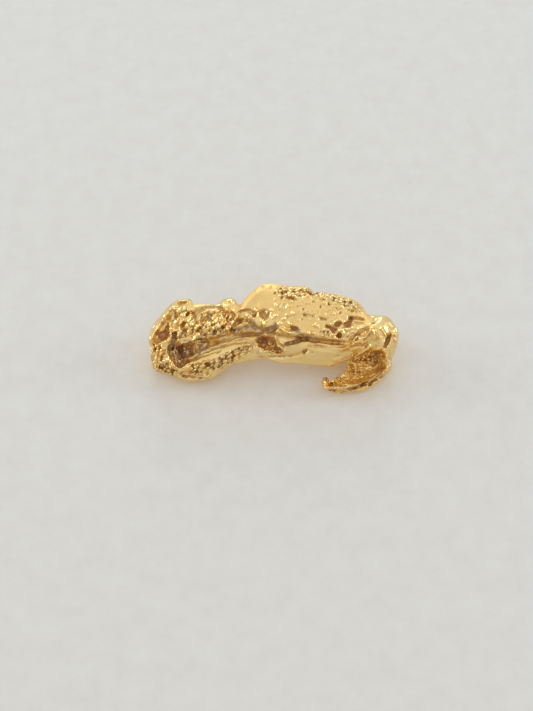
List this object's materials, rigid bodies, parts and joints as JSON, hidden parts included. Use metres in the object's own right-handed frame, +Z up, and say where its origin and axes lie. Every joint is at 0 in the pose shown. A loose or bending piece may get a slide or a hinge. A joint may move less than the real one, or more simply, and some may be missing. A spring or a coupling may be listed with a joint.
{
  "type": "gold nugget",
  "caption": "Natural gold nugget: a blunt furrowed head, a waist and a broad pitted slab that bends down and back under itself as a thin hollowed leaf.",
  "frame": {"origin": "middle of the bounding box's base, on the surface that the nugget lies on", "axes": "+X along the nugget's length from the blunt head to the bend, +Y away from the front, the side where the leaf curls back, +Z up"},
  "size_m": [0.0136, 0.0052, 0.0038],
  "materials": {
    "native_gold": "natural tumbled gold, bright on the high places and brown in the hollows"
  },
  "bodies": {
    "root": {"nugget": "native_gold"}
  },
  "joints": []
}
